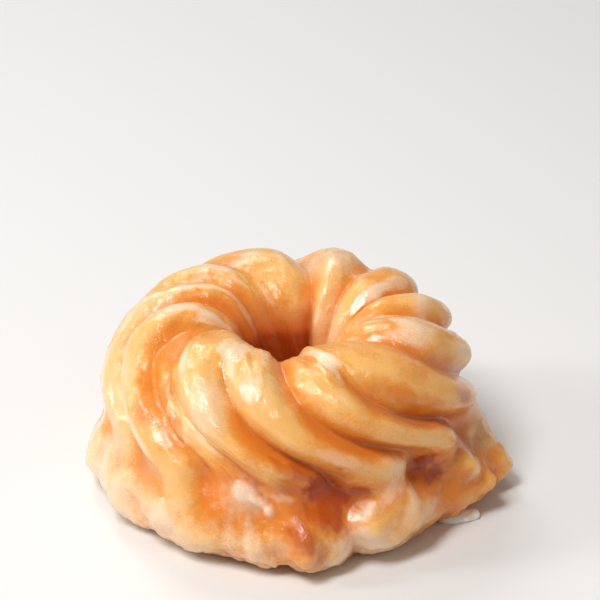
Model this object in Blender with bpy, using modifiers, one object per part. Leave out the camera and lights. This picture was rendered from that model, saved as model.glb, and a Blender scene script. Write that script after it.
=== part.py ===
"""Glazed cruller: one solid ring of choux pastry, piped through a star nozzle.

The ring starts as a torus cage. Its rows run round the ring and its columns
follow the piped lobes, so that each groove and each crest lies on an edge.
Metres, +Z up, the origin on the table under the middle of the cruller's box.
"""

import math

import bmesh
import bpy

MM = 0.001

# The ring's section, as if the lobes' crests were one smooth surface. Each row gives the angle
# round the section in degrees (0 outside, 90 on the crown, 180 in the hole, 270 underneath), the
# distance from the ring's axis, the height, and the depth of the grooves there, all in mm.
SECTION = (
    (0, 40.6, 21.2, 4.3),
    (17, 40.6, 25.6, 4.6),
    (34, 39.1, 30.6, 4.7),
    (50, 36.4, 35.0, 4.7),
    (66, 32.3, 38.7, 4.6),
    (80, 27.6, 40.8, 4.6),
    (93, 22.8, 41.4, 4.5),
    (107, 18.2, 40.8, 4.3),
    (121, 14.2, 38.4, 3.9),
    (134, 11.2, 34.4, 3.4),
    (150, 9.2, 29.0, 2.8),
    (168, 7.8, 22.8, 2.3),
    (187, 7.2, 16.4, 2.0),
    (214, 8.0, 9.0, 2.0),
    (235, 11.0, 2.6, 1.8),
    (248, 15.6, 0.0, 0.0),
    (264, 22.0, 0.0, 0.0),
    (283, 28.5, 0.0, 0.0),
    (299, 34.8, 0.0, 0.0),
    (310, 39.2, 0.7, 1.2),
    (320, 43.2, 4.2, 1.6),
    (330, 43.2, 8.6, 1.8),
    (340, 41.8, 13.0, 1.8),
    (350, 39.9, 17.0, 2.6),
)

# The grooves' angles about the ring's axis, in degrees, where each crosses the section at the
# angles in GROOVE_STATIONS. Counted anticlockwise from the one between the two front lobes.
GROOVE_STATIONS = (150, 120, 90, 60, 30, 0, -30)
GROOVES = (
    (226, 233, 238, 249, 262, 282, 287),
    (257, 263, 268, 275, 289, 314, 321),
    (278, 284, 290, 299, 316, 339, 344),
    (311, 319, 327, 335, 350, 368, 374),
    (344, 351, 357, 363, 376, 394, 399),
    (366, 373, 379, 384, 398, 416, 422),
    (400, 406, 410, 415, 429, 447, 453),
    (426, 432, 440, 450, 467, 484, 488),
    (464, 473, 481, 493, 511, 526, 529),
    (487, 495, 504, 517, 535, 550, 554),
    (509, 517, 527, 540, 559, 575, 579),
    (543, 551, 557, 567, 586, 604, 609),
    (560, 566, 570, 581, 602, 620, 626),
)
# How deep each groove is there, as a share of the section's groove depth.
DEPTHS = (
    (0.1, 0.0, -0.1, 0.9, 1.2, 1.3, 0.7),
    (0.6, 0.7, 0.9, 1.0, 1.1, 0.9, 0.6),
    (0.1, 0.0, 0.1, 0.9, 1.3, 1.2, 0.6),
    (0.4, 0.5, 0.6, 0.9, 1.1, 1.0, 0.8),
    (0.4, 0.4, 0.5, 0.7, 1.0, 1.0, 1.0),
    (0.5, 0.6, 0.8, 1.0, 1.2, 1.0, 1.0),
    (0.8, 0.8, 0.6, 0.6, 0.8, 1.0, 1.0),
    (0.8, 0.9, 0.9, 1.0, 1.0, 1.0, 1.0),
    (0.2, 0.3, 0.5, 0.6, 0.6, 0.7, 1.0),
    (0.3, 0.4, 0.5, 0.6, 0.7, 0.8, 1.0),
    (0.4, 0.6, 0.9, 1.0, 0.9, 0.7, 0.6),
    (0.3, 0.5, 0.9, 1.1, 1.1, 0.9, 0.5),
    (0.4, 0.5, 0.7, 0.8, 0.8, 0.8, 0.6),
)
# How sharp each groove's bottom is, 0 being round.
CREASES = (0.6, 0.6, 0.6, 0.5, 0.5, 0.5, 0.3, 0.5, 0.1, 0.2, 0.5, 0.0, 0.6)
LOBES = len(GROOVES)
EVEN = 360 / LOBES             # degrees between grooves where they are evenly spaced
LOBES_PASSED = 4               # how many lobes along a crest comes out after one turn of the section
HOLE_STATION = 187             # degrees round the section where the ring is narrowest, in the hole
HOLE_DEPTH = 0.4               # the share of the groove depth there
HOLE_TURN = -9                 # degrees about the axis from the last station before the hole to there
UNDER_STATIONS = (-62, -110, -173)  # degrees round the section under the ring, on to the hole again
UNDER_DEPTH = 1.0              # the share of the groove depth under the ring
UNDER_TURN = 4                 # degrees about the axis from the last station to the first of them
COLUMNS = ((0.0, 0.0), (0.25, 0.86), (0.5, 1.0), (0.75, 0.86))  # place and rise across one lobe
ROWS = len(SECTION)

# How far each lobe stands over the section, in mm, where it crosses the section at the angles in
# RISE_STATIONS. In the order of the grooves before them.
RISE_STATIONS = (120, 60, 0)
RISE_FADE = 35                 # degrees under the last station over which the rises fade out
RISE_END, RISE_FADE_IN_HOLE = 190, 40  # where they end in the hole, and the degrees of that fade
RISES = (
    (-0.6, 0.1, 0.2),
    (-2.2, -0.2, 0.4),
    (0.0, -0.3, 0.3),
    (0.0, -0.2, 0.3),
    (0.1, 0.1, 0.2),
    (0.3, 0.3, 0.2),
    (0.4, 1.2, 0.4),
    (0.2, 0.3, 0.0),
    (-0.2, -0.2, 0.0),
    (-0.3, -0.4, 0.0),
    (-0.2, -0.2, 0.2),
    (-2.2, -3.6, -3.0),
    (0.7, 0.8, -0.8),
)
# How pointed each lobe's crest is, 1 being round. In the same order.
CRESTS = (1.0, 1.0, 1.0, 1.0, 1.0, 1.0, 2.2, 1.0, 1.0, 1.0, 1.0, 1.0, 1.0)
# The foot's lumps, the waist's hollows and the shoulder's swells: angle about the axis, reach in
# mm, and width in degrees.
FOOT_LUMPS = (
    (187, 2.6, 11),
    (208, 1.2, 9),
    (231, -1.4, 8),
    (252, -1.0, 10),
    (274, 2.0, 7),
    (289, -3.8, 6),
    (304, -2.4, 6),
    (317, -4.2, 8),
    (328, -1.2, 6),
    (351, 5.6, 8),
    (15, -1.0, 8),
    (32, 0.8, 9),
    (60, -1.4, 10),
    (82, 0.6, 9),
    (104, -1.0, 8),
    (126, 0.9, 9),
    (150, -1.0, 9),
    (167, 0.4, 7),
)
WAIST_HOLLOWS = (
    (262, -1.4, 9),
    (286, -4.6, 11),
    (317, -5.0, 8),
    (347, -3.2, 7),
    (205, -1.2, 22),
    (20, -1.6, 12),
    (80, -1.6, 25),
    (140, -1.6, 25),
)
SHOULDER_SWELLS = (
    (28, -1.0, 24),
    (152, -0.7, 26),
)
# Where each of the three is strongest round the section, and how wide it is there, in degrees.
FOOT_BAND = (-42, 16)
WAIST_BAND = (-10, 9)
SHOULDER_BAND = (28, 22)
CAP_LEAN = -1.6                # mm, how far the top sits off the foot, to the left
CAP_START, CAP_RISE = 6, 12    # mm, the height where the lean starts, and over which it grows
GOLDEN = (0.80, 0.42, 0.13, 1.0)


def through(stations, values, at):
    """A smooth curve's value at one place, through values at falling stations."""
    last = len(stations) - 1
    i = 0
    while i < last - 1 and at < stations[i + 1]:
        i += 1

    def slope(k):
        low, high = max(k - 1, 0), min(k + 1, last)
        return (values[high] - values[low]) / (stations[high] - stations[low])

    span = stations[i + 1] - stations[i]
    t = (at - stations[i]) / span
    start = (2 * t ** 3 - 3 * t ** 2 + 1) * values[i] + (t ** 3 - 2 * t ** 2 + t) * span * slope(i)
    end = (3 * t ** 2 - 2 * t ** 3) * values[i + 1] + (t ** 3 - t ** 2) * span * slope(i + 1)
    return start + end


def groove_table():
    """Each groove's angles at more stations, in the hole and under the ring, where they are even."""
    hole = sum(g[0] - EVEN * i for i, g in enumerate(GROOVES)) / LOBES + HOLE_TURN
    stations = (HOLE_STATION,) + GROOVE_STATIONS + UNDER_STATIONS
    table = []
    for i, groove in enumerate(GROOVES):
        start = hole + EVEN * i
        finish = start + EVEN * LOBES_PASSED
        under = groove[-1] + UNDER_TURN
        middle = (under + finish) / 2
        table.append((start,) + groove + (under, middle, finish))
    return stations, table


def column_table():
    """Each column's angles at the stations, its share of the ridge height, its depths and its lobe."""
    stations, grooves = groove_table()
    columns = []
    for lobe in range(LOBES):
        here = grooves[lobe]
        following = (lobe + 1) % LOBES
        after = grooves[following]
        around = 360 if following == 0 else 0
        for place, rise in COLUMNS:
            angles = [a + (b + around - a) * place for a, b in zip(here, after)]
            nearest = lobe if place < 0.5 else following
            depths = (HOLE_DEPTH,) + DEPTHS[nearest] + (UNDER_DEPTH,) * len(UNDER_STATIONS)
            columns.append((angles, rise ** CRESTS[lobe], depths, lobe))
    return stations, columns


def humps(turn, table):
    """The sum of some lumps or hollows at an angle about the axis, in mm."""
    total = 0.0
    for middle, amount, width in table:
        away = (turn - middle + 180) % 360 - 180
        total += amount * math.exp(-((away / width) ** 2))
    return total


def band(at, place):
    """How strong something is at an angle round the section, given its middle and width there."""
    return math.exp(-(((at - place[0]) / place[1]) ** 2))


def cage_point(stations, column, row):
    """One point of the cage, in metres."""
    angles, rise, depths, lobe = column
    angle, radius, height, groove = SECTION[row]
    before, after = SECTION[row - 1], SECTION[(row + 1) % ROWS]
    at = angle if angle <= HOLE_STATION else angle - 360
    turn = through(stations, angles, at)
    along = math.hypot(after[1] - before[1], after[2] - before[2])
    out_radius = (after[2] - before[2]) / along
    out_height = -(after[1] - before[1]) / along
    own = through(RISE_STATIONS, RISES[lobe], min(max(at, RISE_STATIONS[-1]), RISE_STATIONS[0]))
    own *= min(1.0, max(0.0, 1 + at / RISE_FADE), (RISE_END - at) / RISE_FADE_IN_HOLE)
    out = rise * own - groove * (1 - rise) * through(stations, depths, at)
    radius += humps(turn, FOOT_LUMPS) * band(at, FOOT_BAND)
    radius += humps(turn, WAIST_HOLLOWS) * band(at, WAIST_BAND)
    radius += humps(turn, SHOULDER_SWELLS) * band(at, SHOULDER_BAND)
    radius += out_radius * out
    height += out_height * out
    turn = math.radians(turn)
    lean = CAP_LEAN * min(1.0, max(0.0, (height - CAP_START) / CAP_RISE))
    return (radius * math.cos(turn) + lean) * MM, radius * math.sin(turn) * MM, height * MM


def pastry_material():
    """Golden fried crust under a clear sugar glaze."""
    material = bpy.data.materials.new("glazed_pastry")
    material.use_nodes = True
    shader = material.node_tree.nodes["Principled BSDF"]
    shader.inputs["Base Color"].default_value = GOLDEN
    shader.inputs["Roughness"].default_value = 0.3
    shader.inputs["Metallic"].default_value = 0.0
    material.diffuse_color = GOLDEN
    return material


def close_in_the_hole(cage, columns):
    """Joins each crest that comes up out of the hole to the lobe it went down as, some lobes on."""
    first = ROWS // 2
    last = first + 1
    strip = [
        face
        for face in cage.faces
        if {v.index % ROWS for v in face.verts} == {first, last}
    ]
    bmesh.ops.delete(cage, geom=strip, context="FACES_ONLY")
    cage.verts.ensure_lookup_table()
    shift = LOBES_PASSED * len(COLUMNS)
    for i in range(columns):
        near, far = i, (i + 1) % columns
        lower = [cage.verts[c * ROWS + last] for c in (near, far)]
        upper = [cage.verts[(c + shift) % columns * ROWS + first] for c in (far, near)]
        cage.faces.new(lower + upper)
    bmesh.ops.recalc_face_normals(cage, faces=cage.faces)


def build_ring():
    """The pastry ring as a shaped torus cage under a Subdivision Surface."""
    stations, columns = column_table()
    bpy.ops.mesh.primitive_torus_add(
        major_segments=len(columns),
        minor_segments=ROWS,
        major_radius=24 * MM,
        minor_radius=17 * MM,
    )
    ring = bpy.context.object
    ring.name = "cruller"
    cage = bmesh.new()
    cage.from_mesh(ring.data)
    cage.verts.ensure_lookup_table()
    for vertex in cage.verts:
        column, row = divmod(vertex.index, ROWS)
        vertex.co = cage_point(stations, columns[column], row)
    close_in_the_hole(cage, len(columns))
    crease = cage.edges.layers.float.new("crease_edge")
    for edge in cage.edges:
        grooves = [v.index // ROWS / len(COLUMNS) for v in edge.verts]
        if all(groove.is_integer() for groove in grooves):
            edge[crease] = min(CREASES[int(groove)] for groove in grooves)
    cage.to_mesh(ring.data)
    cage.free()
    smooth = ring.modifiers.new("smooth", "SUBSURF")
    smooth.levels = smooth.render_levels = 1
    bpy.ops.object.modifier_apply(modifier=smooth.name)
    return ring


def centre_on_table(ring):
    """Brings the middle of the box over the origin, with its lowest point on the table."""
    corners = [[v.co[i] for v in ring.data.vertices] for i in range(3)]
    middle = [(min(c) + max(c)) / 2 for c in corners[:2]]
    for vertex in ring.data.vertices:
        vertex.co.x -= middle[0]
        vertex.co.y -= middle[1]
        vertex.co.z -= min(corners[2])


def main():
    """Builds the cruller in its own collection."""
    for old in list(bpy.data.objects):
        bpy.data.objects.remove(old)
    group = bpy.data.collections.new("cruller_doughnut")
    bpy.context.scene.collection.children.link(group)
    ring = build_ring()
    centre_on_table(ring)
    ring.data.shade_smooth()
    ring.data.materials.append(pastry_material())
    for collection in list(ring.users_collection):
        collection.objects.unlink(ring)
    group.objects.link(ring)


main()
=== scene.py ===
"""A glazed cruller: the dressed pastry ring, its glaze, and the studio it stands in."""

import logging
import math
from contextlib import contextmanager
from dataclasses import dataclass, field
from enum import Enum
from typing import Iterable, Iterator, Sequence, Union

import bmesh
import bpy
import numpy as np
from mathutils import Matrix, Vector, noise


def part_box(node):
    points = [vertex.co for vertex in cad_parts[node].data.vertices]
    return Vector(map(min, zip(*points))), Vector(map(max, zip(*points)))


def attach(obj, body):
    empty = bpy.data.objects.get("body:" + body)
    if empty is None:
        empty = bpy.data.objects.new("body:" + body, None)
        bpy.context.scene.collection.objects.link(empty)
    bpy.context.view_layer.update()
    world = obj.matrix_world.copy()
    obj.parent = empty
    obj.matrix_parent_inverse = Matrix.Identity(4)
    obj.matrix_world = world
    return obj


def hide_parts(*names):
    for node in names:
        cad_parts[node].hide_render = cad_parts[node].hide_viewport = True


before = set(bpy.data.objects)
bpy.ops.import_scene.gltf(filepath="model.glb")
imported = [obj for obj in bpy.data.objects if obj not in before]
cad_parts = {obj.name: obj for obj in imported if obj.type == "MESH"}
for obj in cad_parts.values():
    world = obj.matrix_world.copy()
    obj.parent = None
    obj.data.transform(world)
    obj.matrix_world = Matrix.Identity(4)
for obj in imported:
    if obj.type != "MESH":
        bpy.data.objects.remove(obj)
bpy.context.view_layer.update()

log = logging.getLogger("cruller")
MM = 0.001
Colour = tuple[float, float, float]


class Maths(Enum):
    """What a Math node does."""

    ADD = "ADD"
    MULTIPLY = "MULTIPLY"
    SUBTRACT = "SUBTRACT"
    LESSER = "MINIMUM"
    GREATER = "MAXIMUM"


# ---------------------------------------------------------------- shader maths


class Field:
    """A shader socket that Python's operators work on."""

    def __init__(self, recipe: "Recipe", socket: bpy.types.NodeSocket | None) -> None:
        """Keeps the socket and the recipe that its Math nodes go into."""
        self.recipe = recipe
        self.socket = socket

    def _maths(self, operation: Maths, *values: "Value") -> "Field":
        """Adds one Math node.

        Args:
            operation: What it does.
            values: Its inputs, in order.

        Returns:
            The node's result.
        """
        settings = {"operation": operation.value}
        return self.recipe.node("ShaderNodeMath", settings, dict(enumerate(values)))

    def __add__(self, other: "Value") -> "Field":
        """Sum."""
        return self._maths(Maths.ADD, self, other)

    __radd__ = __add__

    def __mul__(self, other: "Value") -> "Field":
        """Product."""
        return self._maths(Maths.MULTIPLY, self, other)

    __rmul__ = __mul__

    def __sub__(self, other: "Value") -> "Field":
        """Difference."""
        return self._maths(Maths.SUBTRACT, self, other)

    def __rsub__(self, other: "Value") -> "Field":
        """Difference, the other way round."""
        return self._maths(Maths.SUBTRACT, other, self)

    def clamp(self) -> "Field":
        """Kept between 0 and 1."""
        return self._maths(Maths.LESSER, self._maths(Maths.GREATER, self, 0.0), 1.0)

    def ramp(self, low: float, high: float) -> "Field":
        """A smooth step.

        Args:
            low: Where it is 0.
            high: Where it is 1.

        Returns:
            The stepped field.
        """
        settings = {"interpolation_type": "SMOOTHSTEP"}
        return self.recipe.node(
            "ShaderNodeMapRange", settings, {"Value": self, "From Min": low, "From Max": high}
        )


Value = Union[Field, float, Sequence[float]]


class Recipe:
    """One material in the making."""

    def __init__(self, name: str) -> None:
        """Starts an empty material of this name."""
        self.material = bpy.data.materials.new(name)
        self.material.use_nodes = True
        self.tree = self.material.node_tree
        self.tree.nodes.clear()

    def node(
        self,
        kind: str,
        settings: dict[str, object] | None = None,
        inputs: dict[str | int, Value] | None = None,
        output: str | int = 0,
    ) -> Field:
        """Adds any node.

        Args:
            kind: The node's type.
            settings: Its own settings, which are set first.
            inputs: Values or links for its sockets, by name or number.
            output: Which output to hand back.

        Returns:
            That output.
        """
        made = self.tree.nodes.new(kind)
        for key, value in (settings or {}).items():
            setattr(made, key, value)
        for key, value in (inputs or {}).items():
            if isinstance(value, Field):
                self.tree.links.new(value.socket, made.inputs[key])
            else:
                made.inputs[key].default_value = value
        return Field(self, made.outputs[output] if made.outputs else None)

    def place(self) -> Field:
        """Object coordinates."""
        return self.node("ShaderNodeTexCoord", output="Object")

    def painted(self, name: str, output: str = "Fac") -> Field:
        """A number, or a place by output "Vector", that the piece carries at each of its points."""
        return self.node("ShaderNodeAttribute", {"attribute_name": name}, output=output)

    def noise(
        self,
        grain: float,
        detail: float = 3.0,
        rough: float = 0.5,
        lean: float = 0.0,
        along: Field | None = None,
    ) -> Field:
        """Cloudy noise.

        Args:
            grain: Size of its patches, in metres.
            detail: Octaves.
            rough: How strong the finer octaves are.
            lean: How far it is twisted by itself.
            along: The coordinates that it follows; Object coordinates if None.

        Returns:
            A field about 0.5.
        """
        inputs = {
            "Vector": along or self.place(),
            "Scale": 1.0 / grain,
            "Detail": detail,
            "Roughness": rough,
            "Distortion": lean,
        }
        return self.node("ShaderNodeTexNoise", {"noise_dimensions": "3D"}, inputs)

    def blend(self, share: Value, first: Value, second: Value) -> Field:
        """Colours mixed by a field."""
        ends = [c if isinstance(c, Field) else (*c, 1.0) for c in (first, second)]
        return self.node(
            "ShaderNodeMix",
            {"data_type": "RGBA", "clamp_factor": True},
            {0: share, 6: ends[0], 7: ends[1]},
            output=2,
        )

    def bump(
        self,
        height: Value,
        depth: float,
        strength: float = 1.0,
        under: Field | None = None,
    ) -> Field:
        """A bump over another one.

        Args:
            height: The field that is raised.
            depth: How high 1 stands, in metres.
            strength: Share of the bump that is used.
            under: The bump beneath.

        Returns:
            The bent normal.
        """
        inputs: dict[str | int, Value] = {"Height": height, "Distance": depth, "Strength": strength}
        if under is not None:
            inputs["Normal"] = under
        return self.node("ShaderNodeBump", None, inputs)

    def finish(self, sockets: dict[str | int, Value]) -> bpy.types.Material:
        """Adds the shader and the output.

        Args:
            sockets: Values or links for the Principled shader.

        Returns:
            The finished material.
        """
        settings = {"subsurface_method": "RANDOM_WALK"}
        shader = self.node("ShaderNodeBsdfPrincipled", settings, sockets)
        self.node("ShaderNodeOutputMaterial", None, {"Surface": shader})
        colour = sockets.get("Base Color")
        if colour is not None and not isinstance(colour, Field):
            self.material.diffuse_color = colour
        return self.material


# ---------------------------------------------------------------- work at the bench


def deselect_all() -> None:
    """Leaves nothing selected."""
    if bpy.context.object and bpy.context.object.mode != "OBJECT":
        bpy.ops.object.mode_set(mode="OBJECT")
    bpy.ops.object.select_all(action="DESELECT")


def pick(piece: bpy.types.Object) -> None:
    """Makes one piece the only one selected, and the active one."""
    deselect_all()
    piece.select_set(True)
    bpy.context.view_layer.objects.active = piece


def pick_points(piece: bpy.types.Object, numbers: Iterable[int]) -> None:
    """Selects some vertices of the piece in edit mode.

    Args:
        piece: The piece that is being edited.
        numbers: Which vertices.
    """
    cage = bmesh.from_edit_mesh(piece.data)
    cage.verts.ensure_lookup_table()
    for face in cage.faces:
        face.select = False
    for edge in cage.edges:
        edge.select = False
    for vertex in cage.verts:
        vertex.select = False
    for number in numbers:
        cage.verts[number].select = True
    cage.select_flush_mode()
    bmesh.update_edit_mesh(piece.data, loop_triangles=False, destructive=False)


def apply_modifier(piece: bpy.types.Object, kind: str, **settings: object) -> None:
    """Adds a modifier and applies it.

    Args:
        piece: The piece that it changes.
        kind: The modifier's type.
        settings: The modifier's own settings.
    """
    pick(piece)
    bpy.ops.object.modifier_add(type=kind)
    modifier = piece.modifiers[-1]
    for key, value in settings.items():
        setattr(modifier, key, value)
    bpy.ops.object.modifier_apply(modifier=modifier.name)


def subdivide(piece: bpy.types.Object, levels: int) -> None:
    """Rounds a cage with Subdivision Surface."""
    apply_modifier(piece, "SUBSURF", levels=levels, render_levels=levels)


def flatten_under(piece: bpy.types.Object) -> None:
    """Presses what would be under the table flat on it."""
    pick(piece)
    below = np.where(point_array(piece.data)[:, 2] < 0)[0].tolist()
    bpy.ops.object.mode_set(mode="EDIT")
    pick_points(piece, below)
    bpy.ops.transform.resize(value=(1, 1, 0), center_override=(0, 0, 0))
    bpy.ops.object.mode_set(mode="OBJECT")


def roughen(
    piece: bpy.types.Object,
    name: str,
    grain: float,
    strength: float,
    mid_level: float = 0.5,
    **settings: object,
) -> None:
    """Makes a piece uneven with a cloud texture.

    Args:
        piece: The piece.
        name: The texture's name.
        grain: Size of the texture's patches, in mm.
        strength: How far the unevenness reaches, in mm.
        mid_level: The texture's value that moves nothing.
        settings: More of the modifier's own settings.
    """
    made = bpy.data.textures.new(name, "CLOUDS")
    made.noise_scale = grain * MM
    made.noise_depth = 2
    made.noise_basis = "ORIGINAL_PERLIN"
    apply_modifier(
        piece,
        "DISPLACE",
        texture=made,
        texture_coords="LOCAL",
        strength=strength * MM,
        mid_level=mid_level,
        **settings,
    )


@contextmanager
def weighed(piece: bpy.types.Object, name: str, shares: np.ndarray) -> Iterator[None]:
    """Gives the piece a vertex group for as long as it is needed.

    Args:
        piece: The piece.
        name: The group's name.
        shares: Each point's share; what is at or under a hundredth is left out.
    """
    group = piece.vertex_groups.new(name=name)
    for number in np.nonzero(shares > 0.01)[0]:
        group.add((int(number),), float(shares[number]), "REPLACE")
    yield
    piece.vertex_groups.remove(piece.vertex_groups[name])


def point_array(mesh: bpy.types.Mesh) -> np.ndarray:
    """The mesh's points as rows of x, y, z."""
    out = np.empty(len(mesh.vertices) * 3)
    mesh.vertices.foreach_get("co", out)
    return out.reshape(-1, 3)


def normal_array(mesh: bpy.types.Mesh) -> np.ndarray:
    """The mesh's point normals as rows."""
    out = np.empty(len(mesh.vertices) * 3)
    mesh.vertex_normals.foreach_get("vector", out)
    return out.reshape(-1, 3)


def paint(piece: bpy.types.Object, name: str, values: np.ndarray) -> None:
    """Writes a number on each point of the piece for its material to read."""
    pick(piece)
    bpy.ops.geometry.attribute_add(name=name, domain="POINT", data_type="FLOAT")
    piece.data.attributes[name].data.foreach_set("value", values.astype(np.float32))


def through(stations: Sequence[float], values: Sequence[float], at: float) -> float:
    """A smooth curve's value at one place.

    Args:
        stations: Falling places where the curve is known.
        values: Its values there.
        at: The place that is asked for.

    Returns:
        The curve's value.
    """
    last = len(stations) - 1
    i = 0
    while i < last - 1 and at < stations[i + 1]:
        i += 1

    def slope(k: int) -> float:
        """The curve's slope at one station."""
        low, high = max(k - 1, 0), min(k + 1, last)
        return (values[high] - values[low]) / (stations[high] - stations[low])

    span = stations[i + 1] - stations[i]
    t = (at - stations[i]) / span
    start = (2 * t**3 - 3 * t**2 + 1) * values[i] + (t**3 - 2 * t**2 + t) * span * slope(i)
    end = (3 * t**2 - 2 * t**3) * values[i + 1] + (t**3 - t**2) * span * slope(i + 1)
    return start + end


# ---------------------------------------------------------------- finishes


@dataclass(frozen=True)
class PastryFinish:
    """Fried choux crust under clear glaze, from pale crests to orange grooves; the grooves' orange
    is partly the crust's own colour and partly painted shade.
    """

    # crest, flank and groove follow the relief: partly the crust's own colours, partly painted
    # shade in the grooves
    crest: Colour = (0.90, 0.48, 0.14)
    flank: Colour = (0.82, 0.30, 0.04)
    groove: Colour = (0.76, 0.22, 0.022)
    # painted shade: the darker orange of shaded valleys and flanks
    orange_shade: Colour = (0.76, 0.23, 0.012)
    # deep and dark are painted shade: red-brown in the hole, in low hollows and under the overhangs
    deep: Colour = (0.53, 0.082, 0.006)
    dark: Colour = (0.24, 0.025, 0.003)
    sugar: Colour = (0.94, 0.70, 0.49)
    milk: Colour = (0.93, 0.69, 0.50)
    streak: float = 0.4        # length across a streak over length along it

    def material(self) -> bpy.types.Material:
        """Builds the crust's material.

        Returns:
            The material.
        """
        r = Recipe("glazed_pastry")
        relief = r.painted("relief")
        # bulk: darker in wide hollows and at the foot (painted shade), paler at the lit left and
        # front (painted light)
        bulk = r.painted("bulk")
        cavity_shade = r.painted("cavity_shade")
        film = r.painted("film")
        white = r.painted("white")
        # painted shade: orange in shaded valleys and flanks
        orange_shade = r.painted("orange_shade")
        # painted light and shade patches: browner where shade falls, paler where light falls
        painted_light_and_shade = r.painted("painted_light_and_shade")
        flow = r.node(
            "ShaderNodeVectorMath",
            {"operation": "MULTIPLY"},
            {0: r.painted("flow", "Vector"), 1: (1.0, 1.0, self.streak)},
        )
        mottle = r.noise(8 * MM, 4.0, 0.6, 0.4) - 0.5
        streaks = r.noise(2.6 * MM, 4.0, 0.6, 0.2, flow) - 0.5
        fine = r.noise(1.0 * MM, 3.0, 0.7) - 0.5
        dots = r.noise(0.42 * MM, 1.0, 0.5) - 0.5
        speckle = mottle * 0.9 + streaks * 0.45 + fine * 0.5 + dots * 0.5
        # the tone: pale crests and orange grooves (partly painted shade), paler at the lit left and
        # front (painted light), browner in the painted shade patches
        tone = (relief * 0.5 + bulk * 0.5 - painted_light_and_shade * 0.45 + speckle * 0.8).clamp()
        colour = r.blend(tone.ramp(0.1, 0.48), self.groove, self.flank)
        colour = r.blend(tone.ramp(0.42, 0.95), colour, self.crest)
        # painted shade: shaded valleys and flanks turned orange
        colour = r.blend(orange_shade * 0.95, colour, self.orange_shade)
        # the sugar film: paler where the film is painted at the lit left and front (painted light),
        # held off the painted shade
        frost = (relief * 0.25 + film + speckle * 0.8 - orange_shade * 0.9 - painted_light_and_shade * 0.6).ramp(0.3, 1.25)
        colour = r.blend(frost * 0.85, colour, self.sugar)
        # painted shade: red under the overhangs and in the waist's hollows
        red = r.painted("red")
        # painted shade: red-brown in the hole, in low hollows and under the overhangs, darkest
        # deepest in
        colour = r.blend((cavity_shade + red + fine * 0.2).clamp(), colour, self.deep)
        shaded = (cavity_shade.ramp(0.75, 1.3) + red.ramp(0.5, 1) * 0.28).clamp()
        colour = r.blend(shaded, colour, self.dark)
        colour = r.blend((white * 0.9 + white * speckle).clamp(), colour, self.milk)
        ripple = r.noise(1.6 * MM, 3.0, 0.6, 0.3, flow)
        patches = r.noise(3.5 * MM, 2.0, 0.5).ramp(0.38, 0.6)
        grains = (r.noise(0.5 * MM, 2.0, 0.7) - 0.5) * (0.4 + patches)
        normal = r.bump(ripple, 0.3 * MM, 0.5)
        normal = r.bump(grains, 0.11 * MM, 1.0, normal)
        rough = 0.12 + (r.noise(4 * MM, 3.0, 0.6) - 0.5) * 0.25 - white * 0.04
        rough = rough + orange_shade * 0.16 + painted_light_and_shade.clamp() * 0.12
        return r.finish(
            {
                "Base Color": colour,
                "Roughness": rough.clamp(),
                "Normal": normal,
                "IOR": 1.5,
                "Subsurface Weight": 0.25,
                "Subsurface Radius": (1.0, 0.35, 0.12),
                "Subsurface Scale": 2.5 * MM,
                "Specular IOR Level": 0.6,
                "Coat Weight": (0.22 - orange_shade * 0.22 - painted_light_and_shade * 0.15 - red * 0.2).clamp(),
                "Coat Roughness": 0.4,
                "Coat IOR": 1.45,
                "Sheen Weight": 0.12,
                "Sheen Roughness": 0.4,
                "Sheen Tint": (1.0, 0.88, 0.8, 1.0),
            }
        )


@dataclass(frozen=True)
class SetGlazeFinish:
    """Sugar glaze that set on the table, milky and wet."""

    milky: Colour = (0.93, 0.89, 0.84)
    thin: Colour = (0.90, 0.60, 0.36)

    def material(self) -> bpy.types.Material:
        """Builds the glaze's material.

        Returns:
            The material.
        """
        r = Recipe("set_glaze_milky")
        cloudy = r.noise(3.2 * MM, 3.0, 0.6, 0.4)
        colour = r.blend(cloudy.ramp(0.5, 0.72), self.milky, self.thin)
        normal = r.bump(r.noise(1.6 * MM, 3.0, 0.5), 0.25 * MM, 0.6)
        normal = r.bump(r.noise(0.5 * MM, 2.0, 0.6), 0.06 * MM, 0.8, normal)
        rough = 0.16 + r.noise(2 * MM, 2.0) * 0.12
        return r.finish(
            {
                "Base Color": colour,
                "Roughness": rough,
                "Normal": normal,
                "IOR": 1.48,
                "Subsurface Weight": 0.3,
                "Subsurface Radius": (1.0, 0.6, 0.4),
                "Subsurface Scale": 2.0 * MM,
                "Coat Weight": 0.4,
                "Coat Roughness": 0.06,
            }
        )


@dataclass(frozen=True)
class FloorFinish:
    """Matt pale table."""

    colour: Colour = (0.78, 0.77, 0.76)

    def material(self) -> bpy.types.Material:
        """Builds the floor's material."""
        return Recipe("pale_floor").finish({"Base Color": (*self.colour, 1.0), "Roughness": 0.8})


# ---------------------------------------------------------------- the pastry


@dataclass(frozen=True)
class Fade:
    """A share that rises along a scale, or falls along it where `over` is negative."""

    start: float           # where it is 0
    over: float            # how far on it is 1
    least: float = 0.0
    most: float = 1.0

    def at(self, values: np.ndarray, plus: np.ndarray | float = 0.0) -> np.ndarray:
        """The share at each value.

        Args:
            values: Places on the scale.
            plus: What is added before the share is kept between its least and most.

        Returns:
            The shares.
        """
        return np.clip((values - self.start) / self.over + plus, self.least, self.most)


def smooth(values: np.ndarray) -> np.ndarray:
    """Values kept between 0 and 1 and eased at both ends."""
    kept = np.clip(values, 0, 1)
    return kept**2 * (3 - 2 * kept)


# a column of the cage: its angles, its share of the ridge's height, its depths, its ridge's number
Column = tuple[list[float], float, tuple[float, ...], int]


@dataclass
class Dent:
    """One press or lump made by hand on the ring's outside."""

    turn: float        # degrees about the axis
    height: float      # mm over the table
    out: float         # mm outward; negative presses in
    reach: float       # mm over which it fades
    up: float = 0.0    # mm upward


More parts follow.
